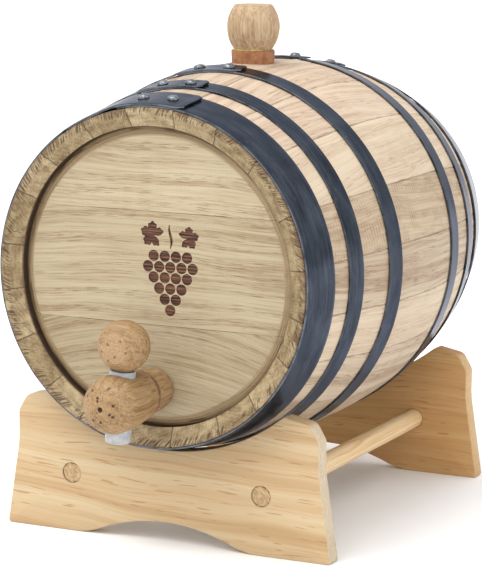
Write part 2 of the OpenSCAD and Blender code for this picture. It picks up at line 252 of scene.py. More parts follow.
class Shader:
    """A material grown from small steps. Each step returns an output socket."""

    def __init__(self, name):
        self.mat = bpy.data.materials.new(name)
        self.mat.use_nodes = True
        self.tree = self.mat.node_tree
        self.bsdf = self.tree.nodes["Principled BSDF"]

    def put(self, socket, value):
        if isinstance(value, bpy.types.NodeSocket):
            self.tree.links.new(value, socket)
        else:
            socket.default_value = value

    def node(self, kind, inputs, **settings):
        node = self.tree.nodes.new("ShaderNode" + kind)
        for key, value in settings.items():
            setattr(node, key, value)
        for key, value in inputs.items():
            self.put(node.inputs[key], value)
        return node

    def math(self, operation, a, b=0.0, clamp=False):
        return self.node("Math", {0: a, 1: b}, operation=operation, use_clamp=clamp).outputs[0]

    def add(self, a, b):
        return self.math("ADD", a, b)

    def sub(self, a, b):
        return self.math("SUBTRACT", a, b)

    def times(self, a, b):
        return self.math("MULTIPLY", a, b)

    def abs(self, a):
        return self.math("ABSOLUTE", a)

    def length(self, a, b):
        return self.math("SQRT", self.add(self.times(a, a), self.times(b, b)))

    def place(self):
        """The point's x, y and z in the part's frame, in millimetres."""
        spot = self.node("TexCoord", {}).outputs["Object"]
        return [self.times(c, 1 / MM) for c in self.split(spot)]

    def lay(self):
        """The three values of the mesh's own lay attribute."""
        return self.split(self.node("Attribute", {}, attribute_name="lay").outputs["Vector"])

    def split(self, vector):
        parts = self.node("SeparateXYZ", {0: vector}).outputs
        return [parts[0], parts[1], parts[2]]

    def join(self, *parts):
        """A vector. Each part is a value, or a value and its factor."""
        parts = [self.times(*p) if isinstance(p, tuple) else p for p in parts]
        return self.node("CombineXYZ", dict(enumerate(parts))).outputs[0]

    def noise(self, x, y, z, scale=1.0, detail=2.0, rough=0.5, distort=0.0):
        sockets = {"Vector": self.join(x, y, z), "Scale": scale, "Detail": detail,
                   "Roughness": rough, "Distortion": distort}
        return self.node("TexNoise", sockets).outputs[0]

    def cells(self, x, y, size):
        """Distance to the nearest of some scattered points, in cells of that size."""
        sockets = {"Vector": self.join(x, y, 0.0), "Scale": 1 / size}
        node = self.node("TexVoronoi", sockets, voronoi_dimensions="2D")
        return node.outputs["Distance"]

    def step(self, value, low, high):
        """0 below low, 1 above high, smooth between. low may be above high."""
        sockets = {"Value": value, "From Min": low, "From Max": high}
        node = self.node("MapRange", sockets, interpolation_type="SMOOTHSTEP")
        return node.outputs[0]

    def wave(self, value, period):
        """A sine of value, from 0 to 1."""
        return self.add(self.times(self.math("SINE", self.times(value, TAU / period)), 0.5), 0.5)

    def ramp(self, value, *stops):
        """Runs through (position, display colour) stops."""
        node = self.node("ValToRGB", {0: value})
        band = node.color_ramp
        while len(band.elements) < len(stops):
            band.elements.new(0.5)
        for element, (position, colour) in zip(band.elements, stops):
            element.position = position
            element.color = srgb(*colour)
        return node.outputs[0]

    def mix(self, amount, a, b, blend="MIX"):
        """From colour a to colour b, which may be a display colour."""
        node = self.node("Mix", {0: amount}, data_type="RGBA", blend_type=blend)
        self.put(node.inputs[6], a)
        self.put(node.inputs[7], srgb(*b) if isinstance(b, tuple) else b)
        return node.outputs[2]

    def stain(self, colour, mask, strength, tint):
        """Lays a tint over the colour where the mask is, at most as strong as strength."""
        return self.mix(self.times(mask, strength), colour, tint)

    def bump(self, height, distance, strength=1.0):
        """Relief from a height of 0 to 1 that stands for distance metres."""
        sockets = {"Height": height, "Distance": distance, "Strength": strength}
        self.put(self.bsdf.inputs["Normal"], self.node("Bump", sockets).outputs[0])

    def set(self, **values):
        """Sets sockets of the Principled shader; an underscore stands for a space."""
        for key, value in values.items():
            self.put(self.bsdf.inputs[key.replace("_", " ")], value)


def wood(s, along, across, depth, look):
    """Colour and relief of planed wood. Lengths are in millimetres; look holds its character.

    Growth bands wander across the grain, fine streaks run along it, pores are short dark
    dashes in the open bands, rays are pale flecks, and saw marks cross the grain."""
    seed = look.get("seed", 0)
    side = s.add(across, s.times(along, look.get("tilt", 0)))
    drift = s.noise((side, 0.02), (along, 0.009), seed, detail=2)
    side = s.add(side, s.times(s.sub(drift, 0.5), look.get("wander", 12)))
    width = look.get("ring", 3.2)
    inner = s.add(s.times(depth, 0.7 / width), seed)
    bands = s.noise((side, 0.8 / width), (along, 0.006), inner, detail=1)
    streak = s.noise((side, 1.4), (along, 0.03), s.add(s.times(depth, 1.4), seed), detail=3, rough=0.6)
    broad = s.noise((side, 0.07), (along, 0.01), s.add(s.times(depth, 0.05), seed + 7))
    strength = look.get("bands", 0.45)
    value = s.add(s.times(bands, strength), s.times(streak, 0.8 - strength))
    value = s.add(value, s.times(broad, 0.2))
    colour = s.ramp(value, (0.4, look["dark"]), (0.5, look["mid"]), (0.6, look["light"]))
    pores = s.noise((side, look.get("pore_size", 1.7)), (along, 0.11),
                    (depth, 1.7), detail=1, rough=0.4)
    pores = s.times(s.step(pores, 0.58, 0.68), s.step(bands, 0.56, 0.44))
    pores = s.times(pores, look.get("pores", 0.5))
    colour = s.mix(pores, colour, look["pore"])
    fleck = s.noise(s.add(s.times(side, 0.8), s.times(along, 0.12)), (along, 0.16),
                    s.add(s.times(depth, 0.5), seed + 3), detail=3, rough=0.6)
    fleck = s.times(s.step(fleck, 0.54, 0.66), look.get("rays", 0.2))
    colour = s.mix(fleck, colour, look["light"])
    fuzz = s.noise((side, 3.5), (along, 0.5), (depth, 3.5), detail=2)
    place = s.add(along, s.times(s.sub(broad, 0.5), 6))
    patch = s.noise((across, 0.3), (along, 0.12), seed + 21, detail=2)
    saw = s.times(s.wave(place, look.get("saw_pitch", 1.9)), s.step(patch, 0.4, 0.62))
    saw = s.times(saw, look.get("saw", 0.0))
    colour = s.mix(saw, colour, look["pore"])
    height = s.add(s.times(streak, 0.35), s.times(fuzz, 0.25))
    height = s.sub(s.sub(height, s.times(pores, 0.8)), saw)
    return colour, height, bands


def finish_wood(s, colour, height, relief=0.12, roughness=0.62):
    s.set(Base_Color=colour, Roughness=roughness, Specular_IOR_Level=0.3)
    s.bump(height, relief * MM, 1.0)
    return s.mat


# ---------------------------------------------------------------- oak staves

CHAR = (58, 36, 24)
OAK_PORE = (128, 98, 74)

# Kinds of oak board: three tones, then what sets the wood apart.
OAK_KINDS = {
    "rosy": ((200, 181, 159), (191, 170, 147), (175, 151, 128),
             {"bands": 0.3, "pores": 0.45, "rays": 0.15, "ring": 2.2}),
    "flecked": ((201, 184, 161), (194, 175, 150), (182, 160, 136),
                {"bands": 0.3, "pores": 0.35, "rays": 0.4, "ring": 3.6}),
    "sawn": ((190, 171, 145), (180, 160, 134), (164, 142, 116),
             {"bands": 0.25, "pores": 0.4, "rays": 0.15, "saw": 0.42, "ring": 3.4}),
    "striped": ((196, 178, 155), (184, 165, 142), (160, 137, 114),
                {"bands": 0.45, "pores": 0.6, "rays": 0.15, "ring": 2.8}),
}
STAVE_KINDS = ("rosy", "rosy", "rosy", "flecked", "sawn", "striped", "flecked", "striped", "sawn",
               "rosy", "striped", "flecked", "sawn", "striped", "rosy", "flecked", "striped", "sawn",
               "flecked", "striped")


def stave_material(number, edges):
    """Each stave is cut from its own board: its own tone, grain slope and tool marks.

    edges are the arc positions of its two long edges, where grime and oil collect."""
    dice = random.Random(number * 31)
    tones = OAK_KINDS[STAVE_KINDS[number - 1]]
    s = Shader(f"oak_stave_{number:02d}")
    arc, along, depth = s.lay()
    shade = dice.uniform(-5, 4)
    light, mid, dark = (tuple(c + shade for c in tone) for tone in tones[:3])
    look = {"light": light, "mid": mid, "dark": dark, "pore": OAK_PORE, "seed": number * 13.7,
            "tilt": dice.uniform(0.02, 0.12) * dice.choice((-1, 1)), "wander": dice.uniform(6, 16),
            "saw_pitch": dice.uniform(1.7, 2.3), **tones[3]}
    colour, height, _ = wood(s, along, arc, depth, look)

    # Faint stains from handling.
    x, y, z = s.place()
    stain = s.noise((x, 0.03), (y, 0.03), (z, 0.03), detail=4, rough=0.7)
    colour = s.stain(colour, s.step(stain, 0.52, 0.75), 0.25, (150, 120, 92))

    gap = s.math("MINIMUM", s.sub(arc, edges[0]), s.sub(edges[1], arc))
    grime = s.noise((along, 0.09), (arc, 0.02), look["seed"] + 31, detail=3)
    grime = s.times(s.step(gap, 0.9, 0.35), s.step(grime, 0.46, 0.66))
    colour = s.stain(colour, grime, 0.38, (96, 66, 46))

    # End grain on the chime: its own tone on each stave, faint rings, brown saw marks near
    # the outer edge, a few radial cracks.
    from_end = s.sub(HALF_LEN / MM, s.abs(along))
    chime = s.step(from_end, 5.3, 5.0)
    age = dice.uniform(-16, 8)
    swing = dice.uniform(-0.9, 0.9)
    speck = s.noise(x, (y, 0.5), z, scale=2.4, detail=3, rough=0.6)
    ring_line = s.wave(s.add(s.times(depth, 1 - abs(swing)), s.times(arc, swing)), dice.uniform(1.1, 1.9))
    cloud = s.noise((arc, 0.16), (depth, 0.3), look["seed"] + 15, detail=3)
    value = s.add(s.times(speck, 0.42), s.add(s.times(ring_line, 0.04), s.times(cloud, 0.58)))
    tones = ((106, 86, 60), (155, 135, 102), (181, 164, 129))
    dark, mid, light = (tuple(c + age for c in tone) for tone in tones)
    end_colour = s.ramp(value, (0.34, dark), (0.52, mid), (0.68, light))
    lean = dice.uniform(0.4, 1.0)
    slant = s.add(arc, s.times(depth, lean))
    ticks = s.noise((slant, 1.5), (depth, 0.12), look["seed"], detail=1)
    torn = s.noise((arc, 0.12), (depth, 0.2), look["seed"] + 4, detail=2)
    ticks = s.times(s.step(ticks, 0.5, 0.57), s.step(depth, 4.6, 2.4))
    ticks = s.times(ticks, s.step(torn, 0.36, 0.5))
    end_colour = s.stain(end_colour, ticks, 0.85, (78, 54, 38))
    rim = s.times(s.step(depth, 1.1, 0.3), s.step(torn, 0.36, 0.6))
    end_colour = s.stain(end_colour, rim, 0.55, (104, 76, 54))
    crack = s.noise((arc, 0.45), (depth, 0.07), look["seed"] + 9, detail=1)
    crack = s.abs(s.sub(crack, 0.56))
    crack = s.times(s.step(crack, 0.005, 0.0), 0.8)
    end_colour = s.mix(crack, end_colour, CHAR)
    end_colour = s.stain(end_colour, s.step(gap, 0.5, 0.2), 0.6, CHAR)
    colour = s.mix(chime, colour, end_colour)

    # The croze and the inner wall past the chime are darker: partly toasting, partly painted shade in the
    # gap behind the head.
    toast_and_shade = s.times(s.step(from_end, 4.6, 6.4), s.step(depth, 6.5, 8.0))
    colour = s.stain(colour, toast_and_shade, 0.92, (50, 31, 21))
    height = s.sub(height, s.times(s.add(ticks, crack), chime))
    return finish_wood(s, colour, height, relief=0.16)


def stave_limits():
    """First and last angle of each stave, read from its CAD node's own points."""
    limits = {}
    for name in STAVES:
        points = [v.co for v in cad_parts[name].data.vertices]
        points = [p for p in points if math.hypot(p.x, p.z - AXIS_Z) > BILGE_R / 2]
        middle = sum((Vector((p.x, p.z - AXIS_Z)) for p in points), Vector((0, 0)))
        centre = math.atan2(middle.x, middle.y)
        spread = []
        for p in points:
            turn = math.atan2(p.x, p.z - AXIS_Z) - centre
            spread.append((turn + math.pi) % TAU - math.pi)
        limits[name] = (centre, min(spread), max(spread))
    return limits


def end_section(end):
    """The cut end of a stave as points (a, radius), from the rim round to the croze."""
    rim = outer_r(end * HALF_LEN)
    foot = inner_r(end * HALF_LEN) - 1 * MM
    rim_in = rim - 1 * MM
    # Where the chime's cut meets the inside of the stave.
    cut_depth = CHIME_CUT
    while rim_in + (foot - rim_in) * cut_depth / CHIME_CUT < inner_r(end * (HALF_LEN - cut_depth)):
        cut_depth -= 0.05 * MM
    half_way = (rim_in + foot) / 2
    groove = croze_r(end)
    points = [(HALF_LEN, rim), (HALF_LEN, rim_in), (HALF_LEN - CHIME_CUT / 2, half_way),
              (HALF_LEN - cut_depth, inner_r(end * (HALF_LEN - cut_depth))),
              (HALF_LEN - CROZE_FROM, inner_r(end * (HALF_LEN - CROZE_FROM))),
              (HALF_LEN - CROZE_FROM, groove), (HALF_LEN - CROZE_TO, groove),
              (HALF_LEN - CROZE_TO, inner_r(end * (HALF_LEN - CROZE_TO)))]
    return [(end * a, r) for a, r in points]


def stave_section():
    """The stave's half section as a loop of (a, radius): outside, front, inside, rear."""
    stations = 64
    outer = [HALF_LEN * (2 * i / stations - 1) for i in range(1, stations)]
    inner_steps = 16
    reach = HALF_LEN - CROZE_TO
    inner = [reach * (1 - 2 * i / inner_steps) for i in range(1, inner_steps)]
    return ([(a, outer_r(a)) for a in outer] + end_section(1) + [(a, inner_r(a)) for a in inner]
            + end_section(-1)[::-1])


def make_stave(name, limits, section):
    """A bent stave with eased long edges, a little proud of or below its neighbours."""
    number = int(name[-2:])
    dice = random.Random(number)
    centre, low, high = limits
    sunk = dice.uniform(0.0, 0.22) * MM
    ease = 0.45 * MM / BILGE_R
    edge_drop = 0.34 * MM
    next_drop = 0.1 * MM
    skin_depth = 2 * MM
    waves = 22 * MM
    turns = [low, low + ease * 0.5, low + ease * 1.6]
    turns += [low + (high - low) * f for f in (0.15, 0.3, 0.45, 0.55, 0.7, 0.85)]
    turns += [high - ease * 1.6, high - ease * 0.5, high]
    drops = [edge_drop, next_drop] + [0] * 8 + [next_drop, edge_drop]
    verts = []
    lay = []
    rings = []
    for turn, drop in zip(turns, drops):
        ring = []
        for a, radius in section:
            depth = outer_r(a) - radius
            r = radius
            if depth < skin_depth:
                spot = Vector((a / waves, turn * 9, number * 5.3))
                r -= drop + sunk + 0.1 * MM * (1 + noise.noise(spot))
            ring.append(len(verts))
            verts.append(on_barrel(a, centre + turn, r))
            lay.append((turn * BILGE_R / MM, a / MM, depth / MM))
        rings.append(ring)
    faces = []
    for first, second in zip(rings, rings[1:]):
        faces += ring_faces(first, second)
    faces += [rings[0], rings[-1][::-1]]
    material = stave_material(number, (low * BILGE_R / MM, high * BILGE_R / MM))
    return mesh_object(f"{name}_oak", verts, faces, material, sharp=32, lay=lay)


def cut_bung_hole(stave):
    plug_lo, plug_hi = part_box("bung_plug")
    top_r = (plug_hi.x - plug_lo.x) / 2 + 0.06 * MM
    centre = (plug_lo + plug_hi) / 2
    bottom = plug_lo.z - 6 * MM
    profile = [(0, bottom), (top_r - 1.4 * MM, bottom), (top_r, plug_hi.z), (0, plug_hi.z)]
    cut_turned(stave, profile, Matrix.Translation((0, centre.y, 0)))


def make_staves():
    section = stave_section()
    limits = stave_limits()
    for name in STAVES:
        stave = make_stave(name, limits[name], section)
        if name == "stave_01":
            material = stave.data.materials[0]
            cut_bung_hole(stave)
            finish_mesh(stave, material, 32)
        add_piece(stave, "barrel", "stave_oak", name)


# ---------------------------------------------------------------- heads

HEAD_FACE_Y = MID_Y - HALF_LEN + HEAD_DEPTH
HEAD_T = 9 * MM
TONGUE_T = 4 * MM
MARK_DEPTH = 0.35 * MM
MARK_UP = 1 * MM
# Turns a lathe's axis so that its heights run back along the barrel.
FROM_FRONT = Matrix.Rotation(-math.pi / 2, 4, "X")


def head_material(name, end, seed, tilt, arch, shade):
    """Planed oak with the grain across the head, a turned bevel and burnt edges. The bevel's darker tone,
    the dark ring at the croze and the darker lower boards are partly painted shade.
    """
    s = Shader(name)
    x, y, z = s.place()
    up = s.sub(z, AXIS_Z / MM)
    back = s.sub(y, MID_Y / MM)
    tones = ((190, 176, 148), (180, 164, 135), (162, 142, 113))
    light, mid, dark = (tuple(c + shade for c in tone) for tone in tones)
    look = {"light": light, "mid": mid, "dark": dark, "pore": (118, 90, 62), "seed": seed,
            "tilt": tilt, "wander": 9, "ring": 3, "bands": 0.28, "pores": 0.6, "rays": 0.25,
            "pore_size": 3.1, "saw": 0.04}
    # Flat-sawn boards show arched rings; the arch is a gentle parabola along the grain.
    crest = s.times(s.times(x, x), arch)
    colour, height, _ = wood(s, x, s.add(up, crest), back, look)
    radius = s.length(x, up)
    face_r = (inner_r(end * (HALF_LEN - CROZE_FROM)) - HEAD_BEVEL) / MM
    on_bevel = s.step(radius, face_r - 0.3, face_r + 0.5)
    turned = s.noise((radius, 2.4), (x, 0.03), (up, 0.03), detail=2)
    # The turned bevel is darker than the face: partly its cut grain, partly painted shade.
    bevel_colour = s.ramp(turned, (0.35, (126, 99, 68)), (0.5, (161, 136, 100)), (0.7, (176, 153, 117)))
    colour = s.stain(colour, on_bevel, 0.75, bevel_colour)
    burn = s.noise((x, 0.06), (up, 0.06), (radius, 0.5), detail=2)
    burn = s.times(s.step(burn, 0.52, 0.66), s.step(radius, face_r + 1.2, face_r + 3.2))
    colour = s.stain(colour, burn, 0.75, (88, 58, 38))
    # A dark ring where the head meets the croze: partly burnt, partly painted shade in the gap.
    rim = s.step(radius, face_r + 3.2, face_r + 5.0)
    colour = s.stain(colour, rim, 0.85, (58, 36, 25))
    if end > 0:
        # The engraved mark is charred.
        sunk = s.sub(y, HEAD_FACE_Y / MM)
        charred = s.times(s.step(sunk, 0.03, 0.12), s.step(sunk, 0.8, 0.6))
        charred = s.times(charred, s.step(radius, 46, 44))
        grain = s.noise((x, 0.06), (up, 1.3), seed, detail=3, rough=0.6)
        char_colour = s.ramp(grain, (0.38, (40, 24, 20)), (0.52, (84, 52, 38)), (0.66, (132, 90, 62)))
        colour = s.mix(charred, colour, char_colour)
    return finish_wood(s, colour, height, relief=0.14)


def head_profile(end):
    """(radius, distance from the barrel's middle) from the face's centre round to its back."""
    edge_r = inner_r(end * (HALF_LEN - CROZE_FROM)) - 0.3 * MM
    tongue_r = croze_r(end) - FIT
    face_r = edge_r - HEAD_BEVEL
    tongue_in = HEAD_DEPTH + HEAD_BEVEL_DROP
    back = HEAD_DEPTH + HEAD_T
    depths = [(0, HEAD_DEPTH), (face_r * 0.5, HEAD_DEPTH), (face_r - 0.4 * MM, HEAD_DEPTH),
              (face_r + 0.4 * MM, HEAD_DEPTH + 0.2 * MM),
              (edge_r, tongue_in), (tongue_r, tongue_in), (tongue_r, tongue_in + TONGUE_T),
              (edge_r, tongue_in + TONGUE_T), (edge_r - 2 * MM, back), (0, back)]
    return [(r, HALF_LEN - depth) for r, depth in depths]


def head_board(node, end, material):
    """A board of the head: the turned disc between the heights of its CAD node."""
    low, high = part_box(node)
    place = Matrix.Translation((0, MID_Y, AXIS_Z)) @ Matrix.Rotation(end * math.pi / 2, 4, "X")
    disc = lathe(f"{node}_oak", head_profile(end), place, material, segments=180)
    joint_reach = 50 * MM
    work = bmesh.new()
    work.from_mesh(disc.data)
    for z, up in ((low.z, -1), (high.z, 1)):
        # Further from the axis it is the disc's own rim, and there is no joint to saw.
        if abs(z - AXIS_Z) > joint_reach:
            continue
        parts = [*work.verts, *work.edges, *work.faces]
        edge = bmesh.ops.bisect_plane(work, geom=parts, plane_co=(0, 0, z),
                                      plane_no=(0, 0, up), clear_outer=True)
        loop = [e for e in edge["geom_cut"] if isinstance(e, bmesh.types.BMEdge)]
        bmesh.ops.holes_fill(work, edges=loop)
        bmesh.ops.bevel(work, geom=loop, offset=0.09 * MM, segments=2, affect="EDGES")
    work.to_mesh(disc.data)
    work.free()
    return disc


def circle_points(x, z, radius, count=28):
    turn = [TAU * k / count for k in range(count)]
    return [(x + radius * math.cos(t), z + radius * math.sin(t)) for t in turn]


def leaf_points(x, z, size, lean):
    """A five-lobed vine leaf, its tip at angle lean."""
    points = []
    count = 70
    for k in range(count):
        t = TAU * k / count
        lobes = 0.62 + 0.3 * abs(math.cos(2.5 * t)) + 0.05 * math.cos(15 * t)
        notch = 0.45 * math.exp(-((t - math.pi) / 0.3) ** 2)
        r = size * (lobes - notch)
        points.append((x + r * math.cos(t + lean), z + r * math.sin(t + lean)))
    return points


def ribbon_points(path, width):
    """A closed outline round an open path of (x, z) points, tapering to its ends."""
    left = []
    right = []
    for i, p in enumerate(path):
        before = Vector(path[max(i - 1, 0)])
        after = Vector(path[min(i + 1, len(path) - 1)])
        side = (after - before).normalized()
        side = Vector((-side.y, side.x))
        half = width / 2 * (0.25 + 0.75 * math.sin(math.pi * (i + 0.5) / len(path)))
        left.append(tuple(Vector(p) + side * half))
        right.append(tuple(Vector(p) - side * half))
    return left + right[::-1]


def grape_mark():
    """Outlines of a plain grape bunch with two leaves, in (x, z)."""
    shapes = []
    berry = 2.55 * MM
    pitch = 5.5 * MM
    centre_x = 7 * MM
    top = 8.5 * MM
    for row, count in enumerate((4, 5, 4, 3, 2, 1)):
        for k in range(count):
            x = centre_x + (k - (count - 1) / 2) * pitch
            shapes.append(circle_points(x, top - row * pitch * 0.87, berry))
    shapes.append(leaf_points(centre_x - 9 * MM, top + 9.4 * MM, 6.2 * MM, math.radians(160)))
    shapes.append(leaf_points(centre_x + 9 * MM, top + 8.8 * MM, 5.4 * MM, math.radians(15)))
    stem = [(centre_x + 0.6 * MM * math.sin(k * 0.5), top + 3.6 * MM + k * 0.95 * MM)
            for k in range(12)]
    shapes.append(ribbon_points(stem, 1.3 * MM))
    return shapes


def mark_cutter():
    """Prisms that stamp the mark into the head's face."""
    verts = []
    faces = []
    for outline in grape_mark():
        start = len(verts)
        count = len(outline)
        for y in (HEAD_FACE_Y - 1 * MM, HEAD_FACE_Y + MARK_DEPTH):
            verts += [(x, y, AXIS_Z + MARK_UP + z) for x, z in outline]
        front = list(range(start, start + count))
        back = list(range(start + count, start + 2 * count))
        faces += [front, back[::-1], *ring_faces(front, back)]
    return mesh_object("cutter", verts, faces, None)


def cut_tap_hole(board):
    tap_lo, tap_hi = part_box("tap_body")
    centre = (tap_lo + tap_hi) / 2
    place = Matrix.Translation((centre.x, HEAD_FACE_Y, centre.z)) @ FROM_FRONT
    mouth_r = 8.35 * MM
    back_r = 8.0 * MM
    before = -1 * MM
    past = HEAD_T + 1 * MM
    hole = [(0, before), (mouth_r, before), (back_r, past), (0, past)]
    cut_turned(board, hole, place)


def make_heads():
    # Each board: name, seed, grain tilt, ring arch and shade. The lower boards are darker, partly their own
    # tone and partly painted shade towards the bottom.
    boards = (("top", 3, 0.01, 0.0, 0), ("middle", 21, -0.015, 0.0006, -9),
              ("bottom", 43, 0.02, 0.003, -16))
    for end_name, end in (("front", 1), ("rear", -1)):
        for part, seed, tilt, arch, shade in boards:
            node = f"{end_name}_head_{part}"
            material = head_material(f"oak_{node}", end, seed + 60 * (end < 0), tilt, arch, shade)
            board = head_board(node, end, material)
            if node == "front_head_middle":
                cut(board, mark_cutter())
            if node == "front_head_bottom":
                cut_tap_hole(board)
            finish_mesh(board, material, 30)
            add_piece(board, "barrel", "head_oak", node)


# ---------------------------------------------------------------- hoops and rivets

# Angles from the top towards +X, in degrees: first rivet, second rivet, lap end.
LAPS = {
    "front_head_hoop": (-6.3, 4.4, 11.5),
    "front_quarter_hoop": (-9.9, 0, 5.2),
    "front_bilge_hoop": (-8.3, 1.5, 6.5),
    "rear_bilge_hoop": (-7.6, 1.5, 6),
    "rear_quarter_hoop": (-5.4, 4, 9),
    "rear_head_hoop": (-31, -20.4, -14.5),
}
LAP_LEAD = 6
# Degrees over which the strip's end climbs onto its start, on the wide and the slim hoops.
CLIMB_WIDE = 9
CLIMB_SLIM = 3
CORNER_CLIP = 2.6 * MM
EDGE_EASE = 0.16 * MM
TIP_LIFT = 0.4 * MM
TIP_LEN = 5 * MM
DENT = 0.16 * MM
DENT_R = 3.4 * MM
HAMMERED = 0.05 * MM
RIVET_R = 2.7 * MM
RIVET_H = 1.9 * MM
RIVET_SINK = 0.12 * MM


def hoop_material(name, seed, patch=None):
    """Blued steel strip: a dark skin with pale scuffs, and bright edges that are partly bare worn metal and
    partly a painted highlight.
    """
    s = Shader(name)
    around, across, edge = s.lay()
    streak = s.noise((around, 0.03), (across, 0.9), seed, detail=3, rough=0.6)
    cloud = s.noise((around, 0.06), (across, 0.12), seed + 5, detail=4, rough=0.6)
    value = s.add(s.times(streak, 0.45), s.times(cloud, 0.55))
    colour = s.ramp(value, (0.36, (34, 39, 46)), (0.5, (53, 60, 69)), (0.66, (75, 82, 93)))
    scuff = s.noise((around, 0.22), (across, 0.3), seed + 11, detail=5, rough=0.75)
    scuff = s.times(s.step(scuff, 0.6, 0.74), 0.5)
    colour = s.mix(scuff, colour, (109, 116, 124))
    if patch:
        bare = s.times(s.step(around, patch[0] - 0.3, patch[0] + 0.3),
                       s.step(around, patch[1] + 0.5, patch[1] - 0.5))
        colour = s.stain(colour, bare, 0.85, (88, 68, 52))
    # Pale strip edges: partly bare worn metal, partly a painted edge highlight.
    edge_patches = s.noise((around, 0.12), (across, 0.1), seed + 2, detail=3)
    edge_patches = s.times(s.step(edge_patches, 0.3, 0.6), edge)
    colour = s.stain(colour, edge_patches, 0.6, (119, 122, 129))
    rough = s.ramp(cloud, (0.3, (100, 100, 101)), (0.7, (136, 136, 138)))
    s.set(Base_Color=colour, Metallic=0.75, Roughness=rough, Specular_Tint=srgb(188, 191, 204))
    fine = s.noise((around, 0.25), (across, 2.5), seed, detail=3)
    s.bump(s.add(s.times(fine, 0.5), cloud), 0.05 * MM, 0.6)
    return s.mat


def hoop_band(name):
    """(centre, width) of a hoop along the barrel, from its CAD node."""
    lo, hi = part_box(name)
    return MID_Y - (lo.y + hi.y) / 2, hi.y - lo.y


def hoop_strip(name, material):
    """One strip bent round the staves, whose end climbs over its start and is riveted."""
    centre, width = hoop_band(name)
    rivets = [math.radians(v) for v in LAPS[name][:2]]
    end = math.radians(LAPS[name][2]) + TAU
    start = rivets[0] - math.radians(LAP_LEAD)
    climb_to = start + TAU
    climb = math.radians(CLIMB_WIDE if "head" in name else CLIMB_SLIM)
    r_mid = outer_r(centre)
    seed = len(name) * 3.1 + centre * 100
    half_columns = (0, 0.3, 0.6, 0.85, 0.97, 1)
    columns = [-f for f in half_columns[:0:-1]] + list(half_columns)
    pitch = math.radians(1.5)
    first_fine = climb_to - climb
    angles = [start + pitch * i for i in range(int((first_fine - start) / pitch))]
    fine = 70
    angles += [first_fine + (end - first_fine) * i / fine for i in range(fine + 1)]
    verts = []
    lay = []
    rings = []
    for angle in angles:
        left = (end - angle) * r_mid
        clip = max(CORNER_CLIP - left, 0)
        half = width / 2 - clip
        rise = (HOOP_T + 0.03 * MM) * smooth_step((angle - (climb_to - climb)) / climb)
        on_top = angle > climb_to - climb / 2
        tip = TIP_LIFT * smooth_step(1 - left / TIP_LEN)
        ring = []
        for side, order in ((0, columns), (1, columns[::-1])):
            for f in order:
                a = centre + f * half
                lift = FIT + rise + tip
                if on_top:
                    for rivet in rivets:
                        near = math.hypot((angle - TAU - rivet) * r_mid, a - centre)
                        lift -= DENT * math.exp(-(near / DENT_R) ** 2)
                edge = abs(f) > 0.999
                lift += HOOP_T - (EDGE_EASE if edge else 0) if side == 0 else 0
                lift += HAMMERED * noise.noise(Vector((angle * 6, f, seed)))
                base = outer_r(centre) - (a - centre) * math.tan(slope_at(centre))
                ring.append(len(verts))
                r = base + lift / math.cos(slope_at(centre))
                verts.append(on_barrel(a, angle, r))
                lay.append((angle * r_mid / MM, (a - centre) / MM, 1.0 if edge else 0.0))
        rings.append(ring)
    faces = []
    for one, two in zip(rings, rings[1:]):
        faces += ring_faces(one, two)
    faces += [rings[0], rings[-1][::-1]]
    return mesh_object(f"{name}_strip", verts, faces, material, sharp=40, lay=lay)


def rivet_material():
    s = Shader("galvanised_rivet")
    x, y, z = s.place()
    spangle = s.noise(x, y, z, scale=1.3, detail=3, rough=0.6)
    colour = s.ramp(spangle, (0.35, (70, 75, 80)), (0.5, (112, 117, 122)), (0.7, (158, 162, 166)))
    rough = s.ramp(spangle, (0.35, (170, 170, 170)), (0.65, (128, 128, 128)))
    s.set(Base_Color=colour, Metallic=0.8, Roughness=rough)
    s.bump(s.noise(x, y, z, scale=2.2, detail=2), 0.12 * MM, 0.8)
    return s.mat


def add_rivet(centre, angle, dice, verts, faces):
    """One peened head at a place along the barrel and an angle from the top."""
    profile = [(0.5, -0.5), (0.86, -0.05), (1.0, 0.1), (0.98, 0.3), (0.9, 0.54), (0.77, 0.74),
               (0.6, 0.88), (0.4, 0.96), (0.2, 0.99), (0.0, 1.0)]
    lean = slope_at(centre)
    out = Vector((math.sin(angle) * math.cos(lean), -math.sin(lean), math.cos(angle) * math.cos(lean)))
    seat = on_barrel(centre, angle, outer_r(centre)) + out * (FIT + 2 * HOOP_T - RIVET_SINK)
    turn = out.to_track_quat("Z", "Y").to_matrix()
    squash = dice.uniform(0.9, 1.0)
    shift = Vector((dice.uniform(-0.2, 0.2), dice.uniform(-0.2, 0.2), 0)) * MM
    facet = dice.uniform(0, TAU)

    def point(r, h, t):
        bulge = 1 + 0.035 * math.cos(2 * (t - facet)) + 0.02 * math.cos(5 * t + facet)
        r *= bulge * RIVET_R
        spot = Vector((r * math.cos(t), r * math.sin(t), h * RIVET_H * squash))
        return seat + turn @ (spot + shift * max(h, 0))

    faces.append(spin(profile, 28, point, verts, faces)[0][::-1])


def make_rivets():
    """Heads, each a little different, on the laps of all six hoops, in one piece."""
    dice = random.Random(12)
    verts = []
    faces = []
    for name, (first, second, _) in LAPS.items():
        centre, _ = hoop_band(name)
        for degrees in (first, second):
            add_rivet(centre, math.radians(degrees), dice, verts, faces)
    heads = mesh_object("hoop_rivet_heads", verts, faces, rivet_material(), sharp=50)
    add_piece(heads, "barrel", "rivet_steel", "hoop_rivets")


def make_hoops():
    for i, name in enumerate(LAPS):
        patch = None
        if name == "front_bilge_hoop":
            r = outer_r(hoop_band(name)[0]) / MM
            patch = (math.radians(2.5) * r, math.radians(11) * r)
        material = hoop_material(f"blued_{name}", i * 17.3, patch)
        add_piece(hoop_strip(name, material), "barrel", "hoop_steel", name)


# ---------------------------------------------------------------- bung

PLUG_TAPER = 0.055
KNOB_BELLY_R = 17 * MM


